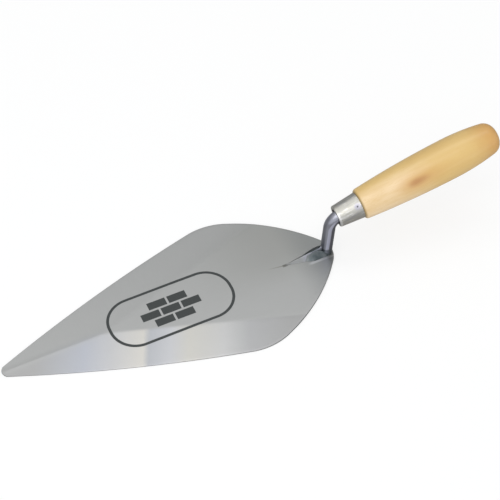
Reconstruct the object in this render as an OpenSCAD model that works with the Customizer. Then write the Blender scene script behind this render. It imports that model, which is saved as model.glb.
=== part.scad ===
// Brick trowel: a ground steel blade, a cranked shank welded to its heel, a tapered steel
// ferrule held by one brad, and a turned wooden handle driven onto the shank's square tang.
// Origin: on the blade's flat underside, at the foot of the shank's centre line.
// +X points from the blade towards the butt of the handle and +Z points up.

/* [Blade] */
// Length from the nose to the back of the heel
blade_l = 280; // [250:1:305]
// Width across the shoulders
blade_w = 129; // [115:1:140]
// Distance from the back of the heel to the widest point
shoulder_back = 87.5; // [80:0.5:95]
// Radius that the nose is rounded to
nose_r = 5.6; // [4:0.2:9]
// Radius of the shoulders' curve
shoulder_r = 50.5; // [44:0.5:58]
// Radius of the long, nearly straight sides that run to the nose
side_r = 1230; // [900:10:2000]
// Radius of the sides that run in to the heel
heel_side_r = 158; // [150:1:220]
// Radius at the back of the heel
heel_r = 17.2; // [15:0.2:22]
// Thickness at the middle, which is left at the full thickness of the sheet
blade_t = 2.2; // [2:0.1:3]
// Slope that the two sides are taper-ground to, in degrees
grind_slope = 2.3; // [1.5:0.1:2.6]
// Distance from the nose to where the two ground sides part
grind_start = 84; // [70:1:110]
// Angle between the middle line and the edge of each ground side, in degrees
grind_angle = 18.6; // [16:0.2:21]

/* [Shank] */
// Diameter of the round bar
shank_d = 9.8; // [8:0.2:10.4]
// Angle that the upright part leans back, in degrees
shank_lean = 3.8; // [0:0.2:8]
// Height at which the upright part's centre line would meet the handle's
shank_h = 39.8; // [36:0.1:50]
// Radius of the bend, on the centre line
bend_r = 12; // [10:0.5:13]
// Length of the foot, from the shank's centre line to its toe
foot_l = 36.5; // [30:0.5:50]
// Half width of the foot at its widest, where the weld starts
foot_half_w = 3.3; // [2.4:0.1:3.6]
// Height of the foot's ridge where it runs into the upright
foot_h = 9; // [7:0.5:12]
// Length of the weld on each side of the ridge
weld_l = 24; // [18:1:28]
// Half width of the weld
weld_half_w = 6.2; // [5.4:0.1:8]
// Height of the weld at the upright
weld_h = 4.5; // [3:0.1:4.8]
// Side of the square tang where it leaves the bar
tang_w = 6.6; // [5:0.1:7]
// Side of the square tang at its end
tang_end_w = 3.6; // [3:0.1:4.5]
// Length of the tang inside the handle
tang_l = 86; // [60:1:100]

/* [Handle] */
// Upward tilt of the handle from the blade, in degrees
handle_tilt = 12.1; // [8:0.1:18]
// Length of the wood, behind the ferrule
handle_l = 124; // [115:0.5:134]
// Largest diameter
handle_d = 32.8; // [30:0.2:36]
// Distance from the ferrule's front to the thickest point
belly_at = 101; // [90:1:103]
// Radius of the curve from the ferrule to the thickest point
front_r = 880; // [750:10:1000]
// Radius of the curve from the thickest point to the butt
rear_r = 200; // [180:5:300]
// Radius of the rounding at the front shoulder
collar_r = 2.8; // [1.5:0.1:3]
// Radius of the rounding at the butt
butt_r = 10; // [8:0.5:11]
// Radius of the crown on the end of the butt
crown_r = 24; // [20:1:40]

/* [Ferrule] */
// Length of the sleeve
ferrule_l = 20.6; // [18:0.1:26]
// Outer diameter at the front
ferrule_front_d = 18; // [17.4:0.1:19]
// Outer diameter at the handle
ferrule_rear_d = 21.6; // [20:0.1:22.4]
// Wall thickness of the sleeve
ferrule_wall = 0.9; // [0.6:0.1:1]
// Diameter of the opening in the turned-in front
ferrule_mouth_d = 12.8; // [12.6:0.1:14]
// Distance from the ferrule's front to the brad
brad_at = 17.3; // [12:0.1:18]
// Angle of the brad around the handle, up from the middle of its -Y side, in degrees
brad_turn = 52; // [0:1:90]
// Diameter of the brad
brad_d = 1.5; // [1.2:0.1:2]
// Length of the brad
brad_l = 5.4; // [4:0.1:6]

/* [Hidden] */
$fn = 96;
heel_x = 5.4;
nose_x = heel_x - blade_l;
shank_r = shank_d / 2;

// The bar turns through this angle, and its bend starts and ends this far from the corner
// in which the two straight centre lines meet
turn = 90 - shank_lean - handle_tilt;
bend_reach = bend_r * tan(turn / 2);
corner_x = shank_h * tan(shank_lean);

// From that corner to the ferrule's front, and from there to where the bar turns square
ferrule_gap = 4.8;
neck_l = 6;

// The handle's own frame: its axis along +Z from the ferrule's front
ferrule_at = [corner_x + ferrule_gap * cos(handle_tilt), 0, shank_h + ferrule_gap * sin(handle_tilt)];
handle_end = ferrule_l + handle_l;

// How far the bar's straight parts run into its bend, and how much thinner the bend is
overlap = 0.5;
thinning = 0.05;

// Half width of the ridge's crest, and height of its toe
ridge_r = 0.3 * shank_r;
toe_h = 0.6;

// Size of the block that each ground side is cut with
cut = 400;

// Outer and inner radius of the ferrule at a distance from its front
function sleeve_r(t) = (ferrule_front_d + (ferrule_rear_d - ferrule_front_d) * t / ferrule_l) / 2;
function wall_r(t) = sleeve_r(t) - ferrule_wall;

// Points along an arc, from angle a to angle b
function arc(c, r, a, b, n) = [for (i = [0:n]) c + r * [cos(a + (b - a) * i / n), sin(a + (b - a) * i / n)]];

// Direction of point b from point a, as an angle
function heading(a, b) = atan2(b[1] - a[1], b[0] - a[0]);

// The point at distance da from point a and db from point b, to the right of the way from a to b
function meeting_point(a, da, b, db) =
    let (
        gap = norm(b - a),
        along = (b - a) / gap,
        p = (da ^ 2 - db ^ 2 + gap ^ 2) / (2 * gap),
        q = sqrt(da ^ 2 - p ^ 2)
    )
    a + p * along + q * [along[1], -along[0]];

// Half of the blade's outline, from the nose round to the back of the heel
function half_outline() =
    let (
        nose = [nose_x + nose_r, 0],
        shoulder = [heel_x - shoulder_back, blade_w / 2 - shoulder_r],
        heel = [heel_x - heel_r, 0],
        side = meeting_point(nose, side_r - nose_r, shoulder, side_r - shoulder_r),
        heel_side = meeting_point(shoulder, heel_side_r - shoulder_r, heel, heel_side_r - heel_r),
        a_nose = heading(side, nose),
        a_side = heading(side, shoulder),
        a_shoulder = heading(heel_side, shoulder),
        a_heel = heading(heel_side, heel)
    )
    concat(
        arc(nose, nose_r, 180, a_nose, 6),
        arc(side, side_r, a_nose, a_side, 8),
        arc(shoulder, shoulder_r, a_side, a_shoulder, 12),
        arc(heel_side, heel_side_r, a_shoulder, a_heel, 8),
        arc(heel, heel_r, a_heel, 0, 8)
    );

module blade_outline() {
    half = half_outline();
    polygon(concat(half, [for (i = [len(half) - 2:-1:1]) [half[i][0], -half[i][1]]]));
}

// Everything above one ground side
module above_grind() {
    translate([nose_x + grind_start, 0, blade_t])
        rotate([0, 0, grind_angle])
            rotate([-grind_slope, 0, 0])
                translate([-cut, 0, 0])
                    cube([2 * cut, cut, cut]);
}

module blade() {
    color([0.66, 0.67, 0.68])
        difference() {
            linear_extrude(blade_t) blade_outline();
            above_grind();
            mirror([0, 1, 0]) above_grind();
        }
}

// The weld seen from above: it starts at the ridge, spreads beside it and closes in on the bar
module weld_plan() {
    polygon([
        [-weld_l, 0],
        [-0.6 * weld_l, -weld_half_w],
        [-0.35 * weld_l, -weld_half_w],
        [0.4 * shank_r, -0.85 * shank_r],
        [0.4 * shank_r, 0.85 * shank_r],
        [-0.35 * weld_l, weld_half_w],
        [-0.6 * weld_l, weld_half_w]
    ]);
}

// A ridge that falls from the upright to a point on the middle line of the blade
module foot_ridge() {
    translate([0, 0, blade_t])
        hull() {
            cylinder(h = foot_h - blade_t, r = ridge_r, $fn = 32);
            cylinder(h = toe_h, r = 1.5 * ridge_r, $fn = 32);
            translate([-weld_l, 0, 0]) cylinder(h = toe_h / 4, r = foot_half_w, $fn = 32);
            translate([-foot_l + toe_h, 0, 0]) cylinder(h = toe_h, r = toe_h, $fn = 32);
        }
}

module square_tang() {
    // Two wedges crossed at right angles make a square spike with flat tapering sides
    half = tang_w / 2;
    half_end = tang_end_w / 2;
    side = [[-half, 0], [half, 0], [half_end, tang_l], [-half_end, tang_l]];
    intersection() {
        rotate([90, 0, 0]) linear_extrude(tang_w, center = true) polygon(side);
        rotate([90, 0, 90]) linear_extrude(tang_w, center = true) polygon(side);
    }
}

// Places a shape whose axis is +Z along the handle, t mm behind the ferrule's front
module on_handle(t = 0) {
    translate(ferrule_at)
        rotate([0, 90 - handle_tilt, 0])
            translate([0, 0, t])
                children();
}

// The upright runs a little way into the bend, where the bar is a hair thinner
module upright() {
    rotate([0, shank_lean, 0]) cylinder(h = shank_h / cos(shank_lean) - bend_reach + overlap, r = shank_r);
}

// Bend and neck: the centre line turns from the upright into the handle's direction
module crank() {
    translate([corner_x, 0, shank_h])
        rotate([0, shank_lean, 0])
            translate([bend_r, 0, -bend_reach])
                rotate([90, 0, 0])
                    rotate_extrude(angle = turn, start = 180 - turn)
                        translate([bend_r, 0]) circle(r = shank_r - thinning);
    on_handle(bend_reach - ferrule_gap - overlap)
        cylinder(h = neck_l - bend_reach + ferrule_gap + overlap, r = shank_r);
}

module shank() {
    color([0.42, 0.44, 0.48]) {
        foot_ridge();
        difference() {
            upright();
            translate([-shank_d, -shank_d, blade_t - shank_d]) cube([2 * shank_d, 2 * shank_d, shank_d]);
        }
        crank();
        on_handle(neck_l) square_tang();
    }
}

// Weld metal that fills the corners between the ridge, the bar and the blade
module weld_fillet() {
    color([0.5, 0.52, 0.56])
        difference() {
            translate([0, 0, blade_t])
                hull() {
                    linear_extrude(toe_h) weld_plan();
                    cylinder(h = weld_h, r = 0.9 * shank_r, $fn = 32);
                }
            foot_ridge();
            upright();
        }
}

module ferrule() {
    lip_r = 0.7;
    corner = [sleeve_r(0) - lip_r, lip_r];
    color([0.8, 0.8, 0.82])
        difference() {
            on_handle()
                rotate_extrude()
                    polygon(concat(
                        [[ferrule_mouth_d / 2, ferrule_wall], [ferrule_mouth_d / 2, 0]],
                        arc(corner, lip_r, -90, -5, 6),
                        [
                            [sleeve_r(ferrule_l), ferrule_l],
                            [wall_r(ferrule_l), ferrule_l],
                            [wall_r(ferrule_wall), ferrule_wall]
                        ]
                    ));
            brad_shape();
        }
}

// One headless nail, driven square to the ferrule's surface until it is flush
module brad_shape() {
    on_handle(brad_at)
        rotate([0, 0, -brad_turn])
            rotate([90, 0, 0])
                translate([0, 0, sleeve_r(brad_at) - brad_l])
                    cylinder(h = brad_l, r = brad_d / 2, $fn = 32);
}

module ferrule_brad() {
    color([0.3, 0.3, 0.34]) brad_shape();
}

// Half of the handle's section, as radius and distance from the ferrule's front
function handle_section() =
    let (
        front = [handle_d / 2 - front_r, belly_at],
        rear = [handle_d / 2 - rear_r, belly_at],
        collar_t = ferrule_l + collar_r,
        collar = [front[0] + sqrt((front_r - collar_r) ^ 2 - (belly_at - collar_t) ^ 2), collar_t],
        crown = [0, handle_end - crown_r],
        butt = meeting_point(crown, crown_r - butt_r, rear, rear_r - butt_r),
        a_collar = heading(front, collar),
        a_butt = heading(rear, butt),
        a_crown = heading(crown, butt)
    )
    concat(
        [[0, neck_l], [wall_r(neck_l), neck_l], [wall_r(ferrule_l), ferrule_l]],
        arc(collar, collar_r, -90, a_collar, 6),
        arc(front, front_r, a_collar, 0, 8),
        arc(rear, rear_r, 0, a_butt, 6),
        arc(butt, butt_r, a_butt, a_crown, 10),
        arc(crown, crown_r, a_crown, 90, 6)
    );

module handle() {
    color([0.9, 0.75, 0.5])
        difference() {
            on_handle() rotate_extrude() polygon(handle_section());
            on_handle(neck_l) square_tang();
            brad_shape();
        }
}

blade();
shank();
weld_fillet();
ferrule();
ferrule_brad();
handle();
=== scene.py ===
"""Brick trowel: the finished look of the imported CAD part, in metres and in the part's own frame."""

import math

import bmesh
import bpy
import numpy as np
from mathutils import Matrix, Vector


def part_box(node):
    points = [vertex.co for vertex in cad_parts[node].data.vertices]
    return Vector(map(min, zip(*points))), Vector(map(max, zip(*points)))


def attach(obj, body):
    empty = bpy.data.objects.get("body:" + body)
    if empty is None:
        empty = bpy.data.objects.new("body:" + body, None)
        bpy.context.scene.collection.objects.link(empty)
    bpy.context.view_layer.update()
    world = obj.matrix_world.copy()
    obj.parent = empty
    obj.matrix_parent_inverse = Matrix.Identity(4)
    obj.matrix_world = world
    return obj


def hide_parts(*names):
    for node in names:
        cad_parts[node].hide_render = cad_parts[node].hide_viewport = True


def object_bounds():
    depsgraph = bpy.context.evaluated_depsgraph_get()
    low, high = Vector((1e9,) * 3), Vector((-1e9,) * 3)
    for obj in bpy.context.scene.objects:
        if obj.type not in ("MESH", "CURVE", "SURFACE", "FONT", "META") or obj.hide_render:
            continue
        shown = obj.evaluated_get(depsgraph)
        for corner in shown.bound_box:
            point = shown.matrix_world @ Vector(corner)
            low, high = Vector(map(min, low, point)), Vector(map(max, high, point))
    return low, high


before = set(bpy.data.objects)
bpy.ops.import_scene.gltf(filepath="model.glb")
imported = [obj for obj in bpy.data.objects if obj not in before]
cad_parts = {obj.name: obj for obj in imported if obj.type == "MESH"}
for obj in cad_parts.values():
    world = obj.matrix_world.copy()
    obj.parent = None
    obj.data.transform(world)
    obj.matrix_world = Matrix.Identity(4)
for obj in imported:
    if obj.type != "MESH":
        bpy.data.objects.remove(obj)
cad_low, cad_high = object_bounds()

MM = 0.001

# Curves drawn through the CAD's corners bulge past its flats, so round pieces are this much smaller
INSET = 0.06 * MM

# ---------------------------------------------------------------- reading the frame


def points_of(node):
    """A CAD node's vertices, as an array in metres."""
    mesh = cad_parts[node].data
    co = np.empty(len(mesh.vertices) * 3)
    mesh.vertices.foreach_get("co", co)
    return co.reshape(-1, 3)


def turned_axis(node):
    """A point on a turned CAD node's axis and the axis's direction, towards +X."""
    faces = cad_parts[node].data.polygons
    area = np.array([f.area for f in faces])
    middle = np.array([f.center for f in faces])
    centre = area @ middle / area.sum()
    spread = (middle - centre).T @ ((middle - centre) * area[:, None])
    direction = np.linalg.eigh(spread)[1][:, -1]
    direction *= np.sign(direction[0])
    return centre, direction


def along_and_out(node):
    """Each vertex's distance along the handle's axis from the ferrule's front, and out from it."""
    offset = points_of(node) - handle_start
    along = offset @ handle_dir
    out = np.linalg.norm(offset - along[:, None] * handle_dir, axis=1)
    return along, out


def in_handle_frame(point):
    """A point's place in mm along the handle's axis, across it towards +Y, and up."""
    offset = (point - handle_start) / MM
    return offset @ handle_dir, -offset @ handle_side, offset @ handle_up


# The handle's axis lies in the plane Y = 0 and starts at the front of the ferrule
axis_point, handle_dir = turned_axis("handle")
axis_point[1] = handle_dir[1] = 0
handle_dir /= np.linalg.norm(handle_dir)
handle_tilt = math.atan2(handle_dir[2], handle_dir[0])
handle_start = axis_point + handle_dir * ((points_of("ferrule") - axis_point) @ handle_dir).min()
handle_up = np.array([-handle_dir[2], 0, handle_dir[0]])
handle_side = np.array([0, -1, 0])

blade_low, blade_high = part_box("blade")
blade_top = blade_high.z
bar_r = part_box("shank")[1].y

# The bar leans back from the origin, then bends into the handle's axis. The two straight centre lines
# meet in a corner, corner_h up the first one
UPRIGHT_LEAN = math.radians(3.8)
BEND_R = 12 * MM
upright_dir = np.array([math.sin(UPRIGHT_LEAN), 0, math.cos(UPRIGHT_LEAN)])
both_lines = np.array([[upright_dir[0], -handle_dir[0]], [upright_dir[2], -handle_dir[2]]])
corner_h = np.linalg.solve(both_lines, handle_start[[0, 2]])[0]

# The foot: its length from the bar's centre line, the height of its crest at that line,
# its half width, and the length over which it spreads to that width from its toe
FOOT_L = 36.3 * MM
FOOT_H = 6.4 * MM
FOOT_HALF_W = 3.3 * MM
FOOT_SPREAD = 16 * MM

# ---------------------------------------------------------------- mesh helpers

# Corners closer together than this are one corner
MERGE = 0.0005 * MM


def add_piece(name, verts, faces, node, material):
    """A smooth-shaded closed mesh that stands for a CAD node."""
    mesh = bpy.data.meshes.new(name)
    mesh.from_pydata([tuple(v) for v in verts], [], faces)
    clean = bmesh.new()
    clean.from_mesh(mesh)
    bmesh.ops.remove_doubles(clean, verts=clean.verts, dist=MERGE)
    bmesh.ops.dissolve_degenerate(clean, edges=clean.edges, dist=MERGE)
    bmesh.ops.recalc_face_normals(clean, faces=clean.faces)
    clean.to_mesh(mesh)
    clean.free()
    mesh.shade_smooth()
    piece = bpy.data.objects.new(name, mesh)
    bpy.context.scene.collection.objects.link(piece)
    mesh.materials.append(material)
    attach(piece, "root")
    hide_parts(node)
    return piece


def smooth_curve(points, steps):
    """A Catmull-Rom curve through the points, with steps samples between each two."""
    p = np.asarray(points, float)
    p = np.vstack([2 * p[0] - p[1], p, 2 * p[-1] - p[-2]])
    u = np.linspace(0, 1, steps, endpoint=False)[:, None]
    parts = [
        b + (c - a) / 2 * u + (2 * a - 5 * b + 4 * c - d) / 2 * u**2 + (3 * (b - c) + d - a) / 2 * u**3
        for a, b, c, d in zip(p, p[1:], p[2:], p[3:])
    ]
    return np.vstack(parts + [p[-2:-1]])


def evenly(curve, count):
    """The curve again, with count samples at equal distances."""
    step = np.linalg.norm(np.diff(curve, axis=0), axis=1)
    length = np.concatenate([[0], np.cumsum(step)])
    at = np.linspace(0, length[-1], count)
    return np.column_stack([np.interp(at, length, column) for column in curve.T])


def skin(rings, closed_around=True, closed_along=False):
    """Quads between neighbouring rings of points, all with the same number of points."""
    rows, columns = len(rings), len(rings[0])
    verts = np.concatenate(rings)
    faces = []
    for i in range(rows if closed_along else rows - 1):
        for j in range(columns if closed_around else columns - 1):
            a, b = i * columns, (i + 1) % rows * columns
            k = (j + 1) % columns
            faces.append((a + j, a + k, b + k, b + j))
    return verts, faces


def lathe(profile, segments):
    """Turns (distance along, radius) pairs about the handle's axis."""
    angles = np.linspace(0, 2 * math.pi, segments, endpoint=False)
    around = np.cos(angles)[:, None] * handle_side + np.sin(angles)[:, None] * handle_up
    rings = [handle_start + t * handle_dir + r * around for t, r in profile]
    return skin(rings)


def rounded(corner, radius, start, end, steps=6):
    """Points on a rounded corner of a profile, from angle start to angle end in degrees."""
    angles = np.radians(np.linspace(start, end, steps + 1))
    return [(corner[0] + radius * math.cos(a), corner[1] + radius * math.sin(a)) for a in angles]


# ---------------------------------------------------------------- shader helpers


class Field:
    """A number worked out by a material's nodes, so that formulas read as arithmetic."""

    def __init__(self, tree, socket):
        self.tree = tree
        self.socket = socket

    def op(self, operation, *others):
        node = self.tree.nodes.new("ShaderNodeMath")
        node.operation = operation
        for i, value in enumerate((self,) + others):
            if isinstance(value, Field):
                self.tree.links.new(value.socket, node.inputs[i])
            else:
                node.inputs[i].default_value = value
        return Field(self.tree, node.outputs[0])

    def __add__(self, other):
        return self.op("ADD", other)

    def __sub__(self, other):
        return self.op("SUBTRACT", other)

    def __mul__(self, other):
        return self.op("MULTIPLY", other)

    def __truediv__(self, other):
        return self.op("DIVIDE", other)

    def abs(self):
        return self.op("ABSOLUTE")

    def ramp(self, low, high):
        """0 below low, 1 above high and smooth between, or the other way round if low is above high."""
        node = self.tree.nodes.new("ShaderNodeMapRange")
        node.interpolation_type = "SMOOTHSTEP"
        flip = low > high
        self.tree.links.new(self.socket, node.inputs["Value"])
        node.inputs["From Min"].default_value = min(low, high)
        node.inputs["From Max"].default_value = max(low, high)
        node.inputs["To Min"].default_value = 1.0 if flip else 0.0
        node.inputs["To Max"].default_value = 0.0 if flip else 1.0
        return Field(self.tree, node.outputs["Result"])


def plug(tree, value, socket):
    """Links or sets one input, from a field, a socket, a colour or a number."""
    if isinstance(value, Field):
        tree.links.new(value.socket, socket)
    elif isinstance(value, bpy.types.NodeSocket):
        tree.links.new(value, socket)
    elif isinstance(value, tuple):
        socket.default_value = (*value, 1.0)
    else:
        socket.default_value = value


def mix_colors(tree, amount, a, b):
    """Colour a where amount is 0 and colour b where it is 1."""
    node = tree.nodes.new("ShaderNodeMix")
    node.data_type = "RGBA"
    for value, index in ((amount, 0), (a, 6), (b, 7)):
        plug(tree, value, node.inputs[index])
    return node.outputs[2]


class Finish:
    """One material: a Principled shader, the place on the object in mm, and noise to vary it."""

    def __init__(self, name, place=None, tilt=0.0):
        self.material = bpy.data.materials.new(name)
        self.material.use_nodes = True
        self.tree = self.material.node_tree
        self.shader = self.tree.nodes["Principled BSDF"]
        coords = self.tree.nodes.new("ShaderNodeTexCoord")
        mapping = self.tree.nodes.new("ShaderNodeMapping")
        mapping.vector_type = "TEXTURE"
        mapping.inputs["Location"].default_value = place if place is not None else (0, 0, 0)
        mapping.inputs["Rotation"].default_value = (0, -tilt, 0)
        mapping.inputs["Scale"].default_value = (MM, MM, MM)
        self.tree.links.new(coords.outputs["Object"], mapping.inputs["Vector"])
        self.place = mapping.outputs["Vector"]
        split = self.tree.nodes.new("ShaderNodeSeparateXYZ")
        self.tree.links.new(self.place, split.inputs[0])
        self.x, self.y, self.z = [Field(self.tree, s) for s in split.outputs]

    def distance(self, spot):
        """Distance in mm from a spot that is given in the material's own place."""
        gap = self.tree.nodes.new("ShaderNodeVectorMath")
        gap.operation = "DISTANCE"
        self.tree.links.new(self.place, gap.inputs[0])
        gap.inputs[1].default_value = spot
        return Field(self.tree, gap.outputs["Value"])

    def noise(self, size, stretch=(1, 1, 1), detail=3.0, rough=0.55):
        """Noise from about 0 to 1, with features size mm across, longer where stretch is above 1."""
        scale = self.tree.nodes.new("ShaderNodeVectorMath")
        scale.operation = "MULTIPLY"
        self.tree.links.new(self.place, scale.inputs[0])
        scale.inputs[1].default_value = [1 / (size * s) for s in stretch]
        node = self.tree.nodes.new("ShaderNodeTexNoise")
        self.tree.links.new(scale.outputs[0], node.inputs["Vector"])
        node.inputs["Scale"].default_value = 1.0
        node.inputs["Detail"].default_value = detail
        node.inputs["Roughness"].default_value = rough
        return Field(self.tree, node.outputs[0])

    def mix(self, amount, a, b):
        """Colour a where amount is 0 and colour b where it is 1."""
        return mix_colors(self.tree, amount, a, b)

    def gradient(self, amount, stops):
        """A colour that passes through the (position, colour) stops as amount goes from 0 to 1."""
        node = self.tree.nodes.new("ShaderNodeValToRGB")
        ramp = node.color_ramp
        while len(ramp.elements) < len(stops):
            ramp.elements.new(0.5)
        for element, (position, color) in zip(ramp.elements, stops):
            element.position = position
            element.color = (*color, 1)
        self.tree.links.new(amount.socket, node.inputs[0])
        return node.outputs[0]

    def facing(self, way, start, end):
        """Rises from 0 to 1 as the surface turns to face the given way, between the two cosines."""
        geometry = self.tree.nodes.new("ShaderNodeNewGeometry")
        dot = self.tree.nodes.new("ShaderNodeVectorMath")
        dot.operation = "DOT_PRODUCT"
        self.tree.links.new(geometry.outputs["Normal"], dot.inputs[0])
        dot.inputs[1].default_value = way
        return Field(self.tree, dot.outputs["Value"]).ramp(start, end)

    def blend(self, amount, a, b):
        """Number a where amount is 0 and number b where it is 1, each a field or a plain number."""
        node = self.tree.nodes.new("ShaderNodeMix")
        node.data_type = "FLOAT"
        plug(self.tree, amount, node.inputs[0])
        plug(self.tree, a, node.inputs[2])
        plug(self.tree, b, node.inputs[3])
        return Field(self.tree, node.outputs[0])

    def set(self, **inputs):
        """Sets inputs of the shader, such as base_color for Base Color."""
        for name, value in inputs.items():
            plug(self.tree, value, self.shader.inputs[name.replace("_", " ").title()])

    def bump(self, *layers):
        """Stacks bumps, each a (field, height in mm) pair."""
        last = None
        for field, height in layers:
            node = self.tree.nodes.new("ShaderNodeBump")
            node.inputs["Distance"].default_value = height * MM
            self.tree.links.new(field.socket, node.inputs["Height"])
            if last:
                self.tree.links.new(last, node.inputs["Normal"])
            last = node.outputs["Normal"]
        self.tree.links.new(last, self.shader.inputs["Normal"])


# ---------------------------------------------------------------- materials

# Distance of the printed panel's middle from the nose, in mm
MARK_BACK = 139.5


def printed_mark(f, nose_x):
    """1 where the panel is inked: a rounded frame round a few bricks laid in running bond."""
    x = f.x - (nose_x + MARK_BACK)
    y = f.y

    def within(distance, limit):
        """1 where a distance is below the limit, with an edge as soft as printing ink's."""
        soft = 0.12
        return distance.ramp(limit + soft, limit - soft)

    half_l, half_w, corner, half_line = 51.0, 22.5, 21.0, 1.15
    past_x = x.abs() - (half_l - corner)
    past_y = y.abs() - (half_w - corner)
    out_x, out_y = past_x.op("MAXIMUM", 0.0), past_y.op("MAXIMUM", 0.0)
    outside = (out_x * out_x + out_y * out_y).op("SQRT")
    edge = outside + past_x.op("MAXIMUM", past_y).op("MINIMUM", 0.0) - corner
    border = within(edge.abs(), half_line)

    # Courses -1, 0 and 1 hold two, three and two bricks, each course set off by half a brick
    brick_l, brick_w, joint = 17.0, 8.6, 1.7
    course = (y / brick_w).op("ROUND")
    along = (x / brick_l + course.abs() * 0.5 + 0.5).op("FRACT")
    in_x = (along - 0.5).abs() * brick_l
    in_y = (y / brick_w - course).abs() * brick_w
    bricks = within(in_x, (brick_l - joint) / 2) * within(in_y, (brick_w - joint) / 2)
    reach = x.abs() + course.abs() * (brick_l / 2)
    bricks = bricks * within(reach, brick_l * 1.5) * within(course.abs(), 1.5)
    return border.op("MAXIMUM", bricks)


def ground_edge():
    """Where the two ground sides part, as x, and the angle of their edges from the middle line."""
    normal, point = top_planes()[-1]
    start_x = point[0] + (normal[1] * point[1] + normal[2] * (point[2] - blade_top)) / normal[0]
    return start_x, math.atan2(-normal[0], normal[1])


def blade_finish():
    """Sheet steel, polished along its length in the middle and ground across it on the two sides."""
    f = Finish("blade_steel")
    nose_x = blade_low.x / MM
    blade_l = (blade_high.x - blade_low.x) / MM
    toe_x = -FOOT_L / MM
    start_x, angle = ground_edge()
    side = (f.y.abs() * math.cos(angle)) - (f.x - start_x / MM) * math.sin(angle)
    ground = side.ramp(-1.5, 1.5) * f.z.ramp(0.05, 0.25)

    along = f.noise(0.16, stretch=(60, 1, 1), detail=2)
    across = f.noise(0.2, stretch=(1, 55, 1), detail=2)
    lines = f.blend(ground, along, across)
    clouds = f.noise(9, detail=4)

    # Each pass over the grinding wheel leaves a band with its own tone
    from_nose = (f.x - nose_x - f.y * 0.47 + f.noise(4, stretch=(1, 12, 1), detail=1) * 2.0) / blade_l
    passes = [
        (0.1, (0.345, 0.345, 0.345)),
        (0.247, (0.39, 0.405, 0.45)),
        (0.422, (0.53, 0.515, 0.485)),
        (0.44, (0.385, 0.395, 0.42)),
        (0.505, (0.46, 0.465, 0.485)),
        (0.56, (0.49, 0.48, 0.45)),
        (0.665, (0.46, 0.46, 0.46)),
        (0.745, (0.36, 0.362, 0.368)),
        (0.87, (0.32, 0.32, 0.32)),
    ]
    bands = f.gradient(from_nose, passes)

    polished = f.mix(lines, (0.37, 0.372, 0.37), (0.425, 0.428, 0.425))
    # Painted shade: the middle of the top darker towards the heel on the far side
    far_heel_shade = f.x.ramp(-130, -25) * f.y.ramp(-25, 15)
    polished = f.mix(far_heel_shade * 0.8, polished, (0.33, 0.332, 0.32))
    near_side = ground * f.y.ramp(6, -6)
    far_side = ground * f.y.ramp(-6, 6) * side.ramp(-18, 22)
    polished = f.mix(far_side, polished, f.mix(lines, (0.4, 0.402, 0.4), (0.455, 0.458, 0.455)))
    steel = f.mix(near_side, polished, f.mix(lines * 0.14, bands, (0.3, 0.3, 0.3)))
    # Painted shade: the steel darker towards the heel and darker still round the foot
    from_foot = ((f.x * f.x) + (f.y * f.y)).op("SQRT") + clouds * 8.0
    steel = f.mix(f.x.ramp(-36, -6) * 0.6, steel, (0.24, 0.25, 0.25))
    steel = f.mix(from_foot.ramp(38, 16) * 0.2, steel, (0.24, 0.25, 0.25))

    # Where the weld was ground off the near side of the foot, and a scratch that runs on from its toe
    on_top = f.z.ramp(0.9, 1.0)
    cleaned = (f.y + 7.0).abs().ramp(1.6, 0.5) * f.x.ramp(-20, -15) * f.x.ramp(6, 2)
    steel = f.mix(cleaned * on_top * 0.75, steel, (0.5, 0.505, 0.52))
    scratch = (f.y + (f.x - toe_x) * 0.15).abs().ramp(0.75, 0.15) * f.x.ramp(toe_x - 17, toe_x)
    steel = f.mix(scratch * on_top * 0.7, steel, (0.2, 0.195, 0.165))
    toe = ((f.x - toe_x) * 0.6).abs().op("MAXIMUM", f.y.abs())
    steel = f.mix(toe.ramp(1.6, 0.7) * on_top * 0.75, steel, (0.12, 0.12, 0.11))

    worn = f.noise(0.7, detail=4).ramp(0.28, 0.4)
    ink = printed_mark(f, nose_x) * f.blend(worn, 0.86, 1.0) * on_top
    f.set(base_color=f.mix(ink, steel, (0.035, 0.04, 0.04)))
    f.set(metallic=f.blend(ink, 1.0, 0.1))
    satin = f.blend(ground, 0.36, 0.3) + lines * 0.1 + clouds * 0.04
    f.set(roughness=f.blend(ink, satin, 0.62))
    f.bump((lines, 0.004), (f.noise(3.5, detail=2), 0.004))
    return f.material


def shank_finish():
    """Forged bar with a blue-grey skin, a painted highlight down its front and painted shade on its
    side under the handle and low down; its toe is ground with the blade.
    """
    f = Finish("shank_steel")
    clouds = f.noise(5, detail=4)
    fine = f.noise(0.25, stretch=(1, 1, 8), detail=3)
    steel = f.mix(clouds, (0.34, 0.345, 0.4), (0.42, 0.425, 0.48))
    # Painted highlight down the bar's front
    steel = f.mix(f.facing((-0.34, -0.94, 0), 0.93, 0.99), steel, (0.74, 0.75, 0.9))
    # Painted shade on the bar's side under the handle
    steel = f.mix(f.facing((0.9, -0.43, 0), 0.25, 0.5) * 0.85, steel, (0.12, 0.125, 0.15))
    # Painted shade low down on the bar and the back of the foot, near the blade
    low_shade = f.x.ramp(-16, -11) * f.z.ramp(9.5, 7.5)
    steel = f.mix(low_shade * 0.8, steel, (0.12, 0.135, 0.155))
    ground = f.x.ramp(-16, -24) * f.z.ramp(12, 9)
    steel = f.mix(ground, steel, f.mix(clouds, (0.31, 0.315, 0.315), (0.36, 0.365, 0.365)))
    steel = f.mix(f.x.ramp(-29, 1 - FOOT_L / MM) * 0.5, steel, (0.17, 0.17, 0.17))
    f.set(base_color=steel, metallic=1.0)
    f.set(roughness=f.blend(ground, clouds * 0.12 + 0.26, 0.55))
    f.bump((fine, 0.006), (clouds, 0.02))
    return f.material


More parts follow.
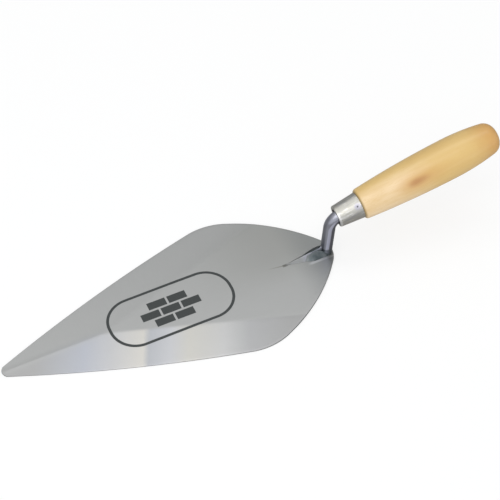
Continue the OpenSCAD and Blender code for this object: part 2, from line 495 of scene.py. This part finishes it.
def weld_finish():
    """Weld metal that has been ground smooth, painted dark as the shade in its hollows."""
    f = Finish("weld_metal")
    clouds = f.noise(3.0, detail=4)
    fine = f.noise(0.2, stretch=(9, 1, 1), detail=3)
    # Painted shade: dark tones for the hollow between the foot and the blade
    steel = f.mix(clouds.ramp(0.3, 0.7), (0.09, 0.11, 0.118), (0.145, 0.16, 0.168))
    tip = (f.x + f.y.abs() * 0.9 + clouds * 4.0).ramp(-9, -18)
    steel = f.mix(tip * 0.8, steel, (0.33, 0.335, 0.335))
    f.set(base_color=steel, metallic=1.0)
    f.set(roughness=clouds * 0.14 + 0.3)
    f.bump((fine, 0.006), (clouds, 0.03))
    return f.material


def ferrule_finish():
    """Bright plating over drawn steel."""
    f = Finish("ferrule_plate", handle_start, handle_tilt)
    turned = f.noise(0.14, stretch=(1, 40, 40), detail=2)
    clouds = f.noise(4, stretch=(2, 1, 1), detail=3)
    streaks = f.noise(1.0, stretch=(13, 1, 1), detail=3)
    plate = f.mix(clouds.ramp(0.3, 0.7), (0.5, 0.487, 0.44), (0.585, 0.57, 0.525))
    plate = f.mix(streaks.ramp(0.52, 0.66) * 0.5, plate, (0.42, 0.415, 0.46))
    plate = f.mix(streaks.ramp(0.46, 0.36) * 0.6, plate, (0.8, 0.79, 0.78))

    # Painted shade on a band along the top, a painted highlight on the front lip and a painted bluish
    # reflection in the dish round the brad
    top = f.facing((-0.203, -0.2, 0.959), 0.962, 0.99)
    plate = f.mix(top * 0.6, plate, (0.4, 0.39, 0.355))
    lip = f.x.ramp(2.4, 0.8) * f.y.ramp(-3, -6)
    plate = f.mix(lip * 0.8, plate, (0.9, 0.89, 0.88))
    from_brad = f.distance(in_handle_frame(brad_place()[0]))
    plate = f.mix(from_brad.ramp(3.8, 1.6) * 0.55, plate, (0.47, 0.46, 0.6))
    f.set(base_color=plate, metallic=1.0)
    f.set(roughness=clouds * 0.1 + turned * 0.05 + 0.32)
    f.bump((turned, 0.002), (clouds, 0.03), (streaks, 0.015))
    return f.material


def brad_finish():
    """Plain dark steel, a little rough."""
    f = Finish("brad_steel")
    specks = f.noise(0.4, detail=3)
    f.set(base_color=f.mix(specks, (0.07, 0.07, 0.085), (0.16, 0.16, 0.18)), metallic=1.0)
    f.set(roughness=specks * 0.2 + 0.35)
    f.bump((specks, 0.02))
    return f.material


# The knot's distance from the ferrule's front, in mm, and its angle up from the handle's -Y side
KNOT_AT = 66.5
KNOT_TURN = math.radians(38.7)


def wood_finish(belly_r, shoulder_at, end_at):
    """Pale, straight-grained wood under clear varnish, with one small knot."""
    f = Finish("handle_wood", handle_start, handle_tilt)

    # In this frame x runs along the handle, y across it and z up. The knot is drawn out along the
    # handle, and more so towards the butt
    stretch_front, stretch_rear = 2.2, 3.6
    past = f.x - KNOT_AT
    from_x = past.op("MINIMUM", 0.0) / stretch_front + past.op("MAXIMUM", 0.0) / stretch_rear
    from_y = f.y + belly_r / MM * math.cos(KNOT_TURN)
    from_z = f.z - belly_r / MM * math.sin(KNOT_TURN)
    from_knot = (from_x * from_x + from_y * from_y + from_z * from_z).op("SQRT")
    swirl = from_knot.ramp(11, 0)

    # Growth rings about a pith that lies outside the handle and sways, and that bend round the knot
    ring_pitch = 4.6
    sway = f.noise(38, stretch=(2.5, 1, 1), detail=2)
    pith_y = f.y + 34.0 + sway * 12.0
    pith_z = f.z + 52.0 + sway * 8.0
    rings = (pith_y * pith_y + pith_z * pith_z).op("SQRT") + swirl * 5.0
    rings = rings + f.noise(9, stretch=(8, 1, 1), detail=2) * 1.6
    bands = (rings * (2 * math.pi / ring_pitch)).op("SINE") * 0.5 + 0.5
    fibre = f.noise(0.55, stretch=(34, 1, 1), detail=4, rough=0.6)
    flecks = f.noise(0.42, stretch=(5.5, 1, 1), detail=1).ramp(0.66, 0.74)
    clouds = f.noise(17, stretch=(2.4, 1, 1), detail=2)

    pale, honey, amber = (0.69, 0.47, 0.172), (0.62, 0.39, 0.12), (0.58, 0.305, 0.08)
    creamy = (0.82, 0.62, 0.375)
    # Painted sheen: paler and creamier towards the front on the -Y side
    wood_with_sheen = f.mix((f.x + clouds * 20.0).ramp(100, 60) * f.y.ramp(5, -9), pale, creamy)
    wood = f.mix(bands * 0.25, wood_with_sheen, f.mix(0.5, wood_with_sheen, honey))
    wood = f.mix(clouds.ramp(0.4, 0.75) * 0.35, wood, honey)
    wood = f.mix(fibre.ramp(0.45, 0.75) * 0.3, wood, honey)
    wood = f.mix(flecks * 0.3, wood, amber)
    butt = (f.x + f.noise(8, detail=2) * 8.0).ramp(end_at / MM - 26, end_at / MM)
    wood = f.mix(butt * 0.85, wood, amber)
    halo = (from_knot + clouds * 4.0).ramp(13, 2)
    wood = f.mix(halo * 0.75, wood, amber)
    core = (from_knot + fibre * 2.0).ramp(5.5, 1.2)
    wood = f.mix(core * 0.6, wood, (0.4, 0.16, 0.05))

    # Darker wood in the corner behind the ferrule
    seam_dark = (f.x - shoulder_at / MM).ramp(1.7, 0.3)
    wood = f.mix(seam_dark * 0.7, wood, (0.3, 0.2, 0.06))
    f.set(base_color=wood, roughness=fibre * 0.12 + 0.42, coat_weight=0.55, coat_roughness=0.16)
    f.bump((fibre, 0.02), (f.noise(6, stretch=(3, 1, 1), detail=2), 0.08))
    return f.material


# ---------------------------------------------------------------- pieces


def half_rim():
    """The blade's outline from the nose to the heel on the +Y side, read from its underside."""
    points = points_of("blade")
    rim = np.unique(np.round(points[points[:, 2] < 0.01 * MM] / MM, 4), axis=0)[:, :2] * MM
    centre = rim.mean(axis=0)
    rim = rim[rim[:, 1] > -0.001 * MM]
    turn = np.arctan2(rim[:, 1], centre[0] - rim[:, 0])
    return centre + (rim[np.argsort(turn)] - centre) * (1 - INSET / blade_high.y)


def top_planes():
    """The blade's three top planes, as (normal, a point on it): the middle and the two ground sides."""
    groups = {-1: [], 0: [], 1: []}
    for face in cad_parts["blade"].data.polygons:
        if face.normal.z > 0.9:
            side = 0 if abs(face.normal.y) < 0.005 else int(math.copysign(1, face.normal.y))
            groups[side].append(face)
    planes = []
    for faces in groups.values():
        largest = max(faces, key=lambda face: face.area)
        planes.append((np.array(largest.normal), np.array(largest.center)))
    return planes


def make_blade():
    """Rings run from the middle line of the top, over the rounded rim and back along the underside."""
    blend_h = 0.018 * MM
    edge_r = 0.3 * MM
    half = evenly(smooth_curve(half_rim(), 12), 210)
    rim = np.vstack([half, half[-2:0:-1] * [1, -1]])
    tangent = np.roll(rim, -1, axis=0) - np.roll(rim, 1, axis=0)
    outward = np.column_stack([-tangent[:, 1], tangent[:, 0]])
    outward /= np.linalg.norm(outward, axis=1)[:, None]
    nose_r, heel_r = 6 * MM, 17 * MM
    spine_x = np.clip(rim[:, 0], blade_low.x + nose_r, blade_high.x - heel_r)
    spine = np.column_stack([spine_x, np.zeros(len(rim))])
    planes = top_planes()

    def top(xy):
        """Height of the top: the lowest of the three planes, with the ridges between them softened."""
        heights = [p[2] - ((xy - p[:2]) @ n[:2]) / n[2] for n, p in planes]
        return -blend_h * np.log(sum(np.exp(-(h - blade_top) / blend_h) for h in heights)) + blade_top

    inner = rim - outward * edge_r
    rings = []
    for share in np.linspace(0, 1, 36):
        xy = spine + (inner - spine) * share
        rings.append(np.column_stack([xy, top(xy)]))
    rim_z = top(inner)
    for angle in np.radians([22, 45, 68, 90]):
        xy = inner + outward * edge_r * math.sin(angle)
        rings.append(np.column_stack([xy, rim_z - edge_r * (1 - math.cos(angle))]))
    for angle in np.radians([90, 68, 45, 22, 0]):
        xy = inner + outward * edge_r * math.sin(angle)
        rings.append(np.column_stack([xy, np.full(len(xy), edge_r * (1 - math.cos(angle)))]))
    for share in np.linspace(1, 0, 8)[1:]:
        xy = spine + (inner - spine) * share
        rings.append(np.column_stack([xy, np.zeros(len(xy))]))
    verts, faces = skin(rings)
    return add_piece("blade_ground", verts, faces, "blade", blade_finish())


def bar_path():
    """The bar's centre line and its direction, from the blade round the bend and into the ferrule."""
    turn = math.pi / 2 - UPRIGHT_LEAN - handle_tilt
    reach = BEND_R * math.tan(turn / 2)
    inward = np.array([math.cos(UPRIGHT_LEAN), 0, -math.sin(UPRIGHT_LEAN)])
    bend_start = upright_dir * (corner_h - reach)
    centre = bend_start + inward * BEND_R
    path = [(upright_dir * s, upright_dir) for s in np.linspace(blade_top * 0.9, corner_h - reach, 40)]
    for angle in np.linspace(0, turn, 24)[1:]:
        spoke = -inward * math.cos(angle) + upright_dir * math.sin(angle)
        path.append((centre + spoke * BEND_R, inward * math.sin(angle) + upright_dir * math.cos(angle)))
    last = path[-1][0]
    path += [(last + handle_dir * s * MM, handle_dir) for s in (0.7, 1.4, 2.3)]
    return path


def foot_half_width(x):
    """Half width of the foot where it meets the blade."""
    return FOOT_HALF_W * np.clip((x + FOOT_L) / FOOT_SPREAD, 0, 1) ** 0.8


def foot_height(x, y):
    """Height above the blade of the foot's roof, which falls from a narrow crest to each side."""
    crest = 0.1
    share = np.clip(y / np.maximum(foot_half_width(x), 0.05 * MM), -1, 1)
    fall = (np.sqrt(share**2 + crest**2) - crest) / (math.sqrt(1 + crest**2) - crest)
    into_bar = 1.6 * MM * np.exp(-np.maximum(-x - bar_r, 0) / (1.5 * MM))
    rise = FOOT_H * np.clip(1 + x / FOOT_L, 0, 1) ** 0.85
    return (rise + 0.1 * MM + into_bar) * (1 - fall)


def bar_rings():
    """Round sections of the bar, which flares a little where it meets the blade."""
    sideways = np.array([0, 1, 0])
    angles = np.linspace(0, 2 * math.pi, 72, endpoint=False)
    rings = []
    for centre, ahead in bar_path():
        across = np.cross(sideways, ahead)
        flare = 1 + 0.1 * math.exp(-max(centre[2] - blade_top, 0) / (1.6 * MM))
        around = np.cos(angles)[:, None] * sideways + np.sin(angles)[:, None] * across
        rings.append(centre + bar_r * flare * around)
    return rings


def foot_rings():
    """Sections of the foot from the bar to the toe, sunk a little into the blade."""
    share = np.linspace(-1, 1, 33)
    under = blade_top - 0.4 * MM
    rings = []
    for x in np.linspace(0, -FOOT_L, 80):
        y = foot_half_width(x) * share
        roof = np.column_stack([np.full(len(y), x), y, blade_top + foot_height(x, y)])
        rings.append(np.vstack([roof, [[x, y[-1], under], [x, y[0], under]]]))
    return rings


def capped(rings):
    """A closed skin over the rings, with both ends filled."""
    verts, faces = skin(rings)
    ring = len(rings[0])
    return verts, faces + [tuple(range(ring)), tuple(range(len(verts) - ring, len(verts)))]


def joined(*shells):
    """Several shells as one list of points and one of faces."""
    verts, faces = [], []
    for shell_verts, shell_faces in shells:
        offset = sum(len(v) for v in verts)
        verts.append(shell_verts)
        faces += [tuple(i + offset for i in face) for face in shell_faces]
    return np.vstack(verts), faces


def tang_rings():
    """The two ends of the square tang, the first one a little inside the bar."""
    neck = along_and_out("handle")[0].min()
    along, out = along_and_out("shank")
    wide = out[(np.abs(along - neck) < 0.05 * MM) & (out < bar_r - 0.1 * MM)].max()
    narrow = out[along > along.max() - 0.1 * MM].max()
    corners = [math.radians(45 + 90 * i) for i in range(4)]
    around = np.array([math.cos(a) * handle_side + math.sin(a) * handle_up for a in corners])
    ends = ((neck - MM, wide), (along.max(), narrow))
    return [handle_start + t * handle_dir + r * around for t, r in ends]


def make_shank():
    """A round bar and its foot, fused by a remesh and smoothed like a forging, and the tang."""
    verts, faces = joined(capped(bar_rings()), capped(foot_rings()))
    shank = add_piece("shank_forged", verts, faces, "shank", shank_finish())
    fuse(shank, 0.22 * MM, 4)
    settle_bar(shank)
    add_shell(shank, *capped(tang_rings()))
    return shank


def add_shell(piece, verts, faces):
    """Adds one more closed shell to a piece's mesh."""
    grown = bmesh.new()
    grown.from_mesh(piece.data)
    corners = [grown.verts.new(v) for v in verts]
    shell = [grown.faces.new([corners[i] for i in face]) for face in faces]
    bmesh.ops.recalc_face_normals(grown, faces=shell)
    grown.to_mesh(piece.data)
    grown.free()


def fuse(piece, voxel, passes):
    """Makes one skin of a piece's overlapping parts and rounds off the corners between them."""
    remesh = piece.modifiers.new("fuse", "REMESH")
    remesh.mode = "VOXEL"
    remesh.voxel_size = voxel
    soften = piece.modifiers.new("soften", "SMOOTH")
    soften.factor = 0.5
    soften.iterations = passes
    graph = bpy.context.evaluated_depsgraph_get()
    made = bpy.data.meshes.new_from_object(piece.evaluated_get(graph), depsgraph=graph)
    piece.modifiers.clear()
    piece.data = made
    made.shade_smooth()


def settle_bar(piece):
    """Puts the bar's skin back at its exact radius, away from the foot, and the foot onto the blade."""
    mesh = piece.data
    points = np.empty(len(mesh.vertices) * 3)
    mesh.vertices.foreach_get("co", points)
    points = points.reshape(-1, 3)
    path = bar_path()
    line = np.array([centre for centre, _ in path])
    best = np.full(len(points), np.inf)
    foot = np.zeros_like(points)
    for start, end in zip(line, line[1:]):
        step = end - start
        share = np.clip((points - start) @ step / (step @ step), 0, 1)
        near = start + share[:, None] * step
        distance = np.linalg.norm(points - near, axis=1)
        closer = distance < best
        foot[closer] = near[closer]
        best[closer] = distance[closer]
    free_h = blade_top + 8.5 * MM
    amount = np.clip((points[:, 2] - free_h) / (3 * MM), 0, 1)
    amount *= (best > 0.7 * bar_r) & ((points - line[-1]) @ handle_dir < -0.5 * MM)
    target = foot + (points - foot) * (bar_r / np.maximum(best, 0.1 * bar_r))[:, None]
    points += (target - points) * amount[:, None]
    x, y, z = points.T
    on_roof = (x < -bar_r - 1.5 * MM) & (z > blade_top)
    roof = blade_top + foot_height(x, y)
    points[:, 2] = np.where(on_roof, roof, np.maximum(z, blade_top - 0.1 * MM))
    mesh.vertices.foreach_set("co", points.ravel())
    mesh.update()


# Where the weld leaves the shank, from the crest of the foot to the back of the bar:
# x, y and height above the blade in mm
WELD_TOP = [
    *((-24.4, 0.3, 2.3), (-18, 0.5, 3.3), (-12, 0.7, 4.25), (-7.6, 1.0, 4.9), (-5.1, 2.1, 4.6)),
    *((-3.2, 3.5, 3.7), (-0.4, 4.75, 2.8), (2.4, 4.2, 2.1), (4.3, 2.3, 1.5), (4.95, 0, 1.3)),
]

# Where it runs out on the foot's flank and then on the blade, on the -Y side and on the +Y side
WELD_TIP = [(-24.9, 0.5, 2.0), (-21.9, 1.75, 1.4)]
WELD_NEAR = WELD_TIP + [
    *((-19.4, 3.3, 0.1), (-16.4, 4.7, 0), (-12.8, 5.9, 0), (-9.2, 5.95, 0), (-5.2, 5.6, 0)),
    *((-1.0, 5.7, 0), (2.4, 5.0, 0), (4.6, 2.7, 0), (5.25, 0, 0)),
]
WELD_FAR = WELD_TIP + [
    *((-19.2, 3.3, 0.1), (-16.0, 4.4, 0), (-12.5, 5.4, 0), (-8.0, 6.3, 0), (-4.0, 6.6, 0)),
    *((0, 6.2, 0), (3.0, 4.6, 0), (4.7, 2.6, 0), (5.25, 0, 0)),
]


def weld_edge(near, far, count=90):
    """A curve down the -Y side from the foot's tip, round the back of the bar and up the +Y side."""
    near = evenly(smooth_curve(np.array(near) * [1, -1, 1] * MM, 10), count)
    far = evenly(smooth_curve(np.array(far) * MM, 10), count)
    return np.vstack([near, far[-2::-1]])


def make_weld():
    """The ground weld down each side of the foot and round the back of the bar, as one band."""
    top = weld_edge(WELD_TOP, WELD_TOP)
    low = weld_edge(WELD_NEAR, WELD_FAR)
    share = np.linspace(0, 1, 15)[:, None]
    hollow = 0.16
    sections = []
    for a, b in zip(top, low):
        line = a + (b - a) * share
        line[:, 2] -= (a[2] - b[2]) * hollow * (share * (1 - share))[:, 0]
        line[:, 2] += blade_top + 0.04 * MM
        floor = blade_top - 0.1 * MM
        sections.append(np.vstack([line, [b[0], b[1], floor], [a[0], a[1] * 0.9, floor]]))
    verts, faces = capped(sections)
    return add_piece("weld_ground", verts, faces, "weld_fillet", weld_finish())


def make_ferrule():
    """A drawn sleeve: turned-in lip, long taper, plain rear edge, and a dish round the brad."""
    along, out = along_and_out("ferrule")
    length = along.max()
    at_rear = out[along > length - 0.1 * MM]
    rear_r = at_rear.max()
    wall = rear_r - at_rear.min()
    mouth_r = out.min()
    middle = (along > 0.2 * length) & (along < 0.4 * length) & (out > rear_r - 1.9 * wall)
    t, r = along[middle][np.argmax(out[middle])], out[middle].max()
    slope = (rear_r - r) / (length - t)
    front_r = rear_r - slope * length
    lip = 0.55 * MM
    edge = 0.25 * MM
    profile = [(wall, mouth_r + 0.1 * MM)]
    profile += rounded((0.35 * wall, mouth_r + 0.35 * wall), 0.35 * wall, 270, 180, 4)
    profile += rounded((lip, front_r - lip), lip, 180, 95, 8)
    profile += [(t, front_r + slope * t) for t in np.linspace(lip * 1.4, length - edge * 1.5, 26)]
    profile += rounded((length - edge, rear_r - edge), edge, 80, 0, 4)
    profile += [(length, rear_r - wall), (wall * 1.6, front_r - wall), (wall, front_r - 2 * wall)]
    verts, faces = lathe(profile + [profile[0]], 144)
    punch_dish(verts)
    return add_piece("ferrule_drawn", verts, faces, "ferrule", ferrule_finish())


def brad_place():
    """Middle of the brad's outer end, and the direction it points, out from the handle."""
    points = points_of("ferrule_brad")
    offset = points.mean(axis=0) - handle_start
    outward = offset - (offset @ handle_dir) * handle_dir
    outward /= np.linalg.norm(outward)
    reach = (points - handle_start) @ outward
    centre = points[reach > reach.max() - 0.05 * MM].mean(axis=0)
    return centre, outward


def punch_dish(verts):
    """Presses a shallow dish into the sleeve around the brad."""
    centre, outward = brad_place()
    distance = np.linalg.norm(verts - centre, axis=1)
    verts -= outward * (0.22 * MM * np.exp(-((distance / (1.5 * MM)) ** 2)))[:, None]


def make_brad():
    """A round nail whose head is a low dome in the dish."""
    centre, outward = brad_place()
    radius = 0.75 * MM
    length = 5.2 * MM
    up = np.cross(handle_dir, outward)
    angles = np.linspace(0, 2 * math.pi, 32, endpoint=False)
    around = np.cos(angles)[:, None] * handle_dir + np.sin(angles)[:, None] * up
    sunk, dome_h = 0.3 * MM, 0.28 * MM
    profile = [(-length, 0.0), (-length, 0.3 * radius), (-length + 2 * radius, radius), (-sunk, radius)]
    for angle in np.radians([15, 35, 55, 75, 90]):
        profile.append((dome_h * math.sin(angle) - sunk, radius * math.cos(angle)))
    rings = [centre + outward * t + around * r for t, r in profile]
    verts, faces = skin(rings)
    return add_piece("brad_domed", verts, faces, "ferrule_brad", brad_finish())


def make_handle():
    """The turned handle: a plug inside the ferrule, a shoulder, a long belly and a crowned butt."""
    along, out = along_and_out("handle")
    ferrule_l = along_and_out("ferrule")[0].max()
    tang_end = along_and_out("shank")[0].max()
    end_at = along.max()
    plug_at = along.min()
    plug_r = out[along < plug_at + 0.1 * MM].max()
    outer = (along > ferrule_l - 0.01 * MM) & ((out > bar_r) | (along > tang_end + MM))
    stations = np.unique(np.round(along[outer] / MM, 1)) * MM
    profile = [(t, out[outer & (np.abs(along - t) < 0.06 * MM)].max()) for t in stations]
    shape = evenly(smooth_curve(profile + [(end_at, 0)], 8), 240)
    shape[:, 1] = np.maximum(shape[:, 1] - INSET, 0)
    shape[:, 0] -= INSET * (shape[:, 0] > tang_end)
    inner_r = out[(along > ferrule_l - 0.1 * MM) & (along < ferrule_l + 0.1 * MM) & (out > bar_r)].min()
    front = [(plug_at, 0), (plug_at, plug_r - INSET), (ferrule_l, inner_r - INSET)]
    verts, faces = lathe(np.vstack([front, shape]), 160)
    finish = wood_finish(np.interp(KNOT_AT * MM, *np.transpose(profile)), ferrule_l, end_at)
    return add_piece("handle_turned", verts, faces, "handle", finish)


make_blade()
make_shank()
make_weld()
make_ferrule()
make_brad()
make_handle()

# ---------------------------------------------------------------- stage, light and camera

STAGE_HALF = 4.0
FLOOR_Z = -0.1 * MM


def ray(tree, kind):
    """1 for rays of one kind, such as those seen by the camera, and 0 for all others."""
    return Field(tree, tree.nodes.new("ShaderNodeLightPath").outputs[kind])


def mix_shaders(tree, amount, a, b):
    """Shader a where amount is 0 and shader b where it is 1."""
    node = tree.nodes.new("ShaderNodeMixShader")
    for value, socket in zip((amount, a, b), node.inputs):
        plug(tree, value, socket)
    return node.outputs[0]


def floor_finish():
    """Pale floor, which the object's metal sees as a grey bench, and which can't be seen from below."""
    material = bpy.data.materials.new("floor_pale")
    material.use_nodes = True
    tree = material.node_tree
    tree.nodes.remove(tree.nodes["Principled BSDF"])

    def plain(kind, brightness):
        node = tree.nodes.new(kind)
        node.inputs["Color"].default_value = (brightness, brightness, brightness, 1)
        return node.outputs[0]

    diffuse, clear = "ShaderNodeBsdfDiffuse", "ShaderNodeBsdfTransparent"
    pale = mix_shaders(tree, 0.7, plain(diffuse, 0.92), plain("ShaderNodeEmission", 1.0))
    shaded = mix_shaders(tree, ray(tree, "Is Glossy Ray"), pale, plain(diffuse, 0.36))
    behind = Field(tree, tree.nodes.new("ShaderNodeNewGeometry").outputs["Backfacing"])
    touching = ray(tree, "Is Glossy Ray") * ray(tree, "Ray Length").op("LESS_THAN", 0.5 * MM)
    result = mix_shaders(tree, behind.op("MAXIMUM", touching), shaded, plain(clear, 1.0))
    tree.links.new(result, tree.nodes["Material Output"].inputs["Surface"])
    return material


def make_floor():
    """A wide floor, a hair below the blade."""
    mesh = bpy.data.meshes.new("floor")
    corners = [(-1, -1), (1, -1), (1, 1), (-1, 1)]
    verts = [(x * STAGE_HALF, y * STAGE_HALF, FLOOR_Z) for x, y in corners]
    mesh.from_pydata(verts, [], [(0, 1, 2, 3)])
    mesh.materials.append(floor_finish())
    floor = bpy.data.objects.new("floor", mesh)
    bpy.context.scene.collection.objects.link(floor)


def direction(azimuth, elevation):
    """Unit vector towards a light or camera placed at that azimuth and elevation, in degrees."""
    a, e = math.radians(azimuth), math.radians(elevation)
    return Vector((math.sin(a) * math.cos(e), -math.cos(a) * math.cos(e), math.sin(e)))


def softbox(name, azimuth, elevation, distance, size, brightness):
    """A soft area light that faces the object's middle; brightness is the radiance of its face."""
    light = bpy.data.lights.new(name, "AREA")
    light.shape = "RECTANGLE"
    light.size, light.size_y = size
    light.energy = brightness * math.pi * size[0] * size[1]
    lamp = bpy.data.objects.new(name, light)
    middle = (cad_low + cad_high) / 2
    back = direction(azimuth, elevation)
    lamp.location = middle + back * distance
    lamp.rotation_mode = "QUATERNION"
    lamp.rotation_quaternion = back.to_track_quat("Z", "Y")
    bpy.context.scene.collection.objects.link(lamp)


def make_world():
    """A pale ceiling over walls that are light in front of the object and dim behind it."""
    world = bpy.data.worlds.new("studio")
    world.use_nodes = True
    tree = world.node_tree
    coords = tree.nodes.new("ShaderNodeTexCoord")
    split = tree.nodes.new("ShaderNodeSeparateXYZ")
    tree.links.new(coords.outputs["Generated"], split.inputs[0])
    across, up = [Field(tree, split.outputs[axis]) for axis in ("Y", "Z")]
    walls = mix_colors(tree, across.ramp(-0.5, 0.4), (1.05, 1.07, 1.1), (0.24, 0.25, 0.26))
    room = mix_colors(tree, up.ramp(0.05, 0.8), walls, (0.72, 0.73, 0.73))
    room = mix_colors(tree, up.ramp(-0.05, -0.3), room, (0.6, 0.6, 0.6))
    room = mix_colors(tree, ray(tree, "Is Camera Ray"), room, (0.93, 0.935, 0.94))
    tree.links.new(room, tree.nodes["Background"].inputs["Color"])
    bpy.context.scene.world = world


# The photo's viewing angle in degrees, the camera's distance in metres and its lens in mm,
# and the point on the floor that it looks at, as shares of the object's length and width
VIEW_AZIMUTH, VIEW_ELEVATION = -25.18, 51.76
VIEW_DISTANCE = 1.213
VIEW_LENS = 108.5
AIM_SHARE = (0.5202, 0.7151)


def make_camera():
    """A long lens looking down on the blade from its -Y side."""
    camera = bpy.data.cameras.new("camera")
    camera.lens = VIEW_LENS
    camera.sensor_width = 36
    camera.clip_end = 20
    holder = bpy.data.objects.new("camera", camera)
    size = cad_high - cad_low
    aim = Vector((cad_low.x + size.x * AIM_SHARE[0], cad_low.y + size.y * AIM_SHARE[1], 0))
    back = direction(VIEW_AZIMUTH, VIEW_ELEVATION)
    holder.location = aim + back * VIEW_DISTANCE
    holder.rotation_mode = "QUATERNION"
    holder.rotation_quaternion = back.to_track_quat("Z", "Y")
    bpy.context.scene.collection.objects.link(holder)
    bpy.context.scene.camera = holder


make_floor()
make_world()
softbox("key", -45, 62, 1.6, (1.5, 1.5), 1.4)
softbox("far", 155, 70, 1.6, (1.6, 0.6), 1.35)
make_camera()
bpy.context.scene.view_settings.view_transform = "Standard"
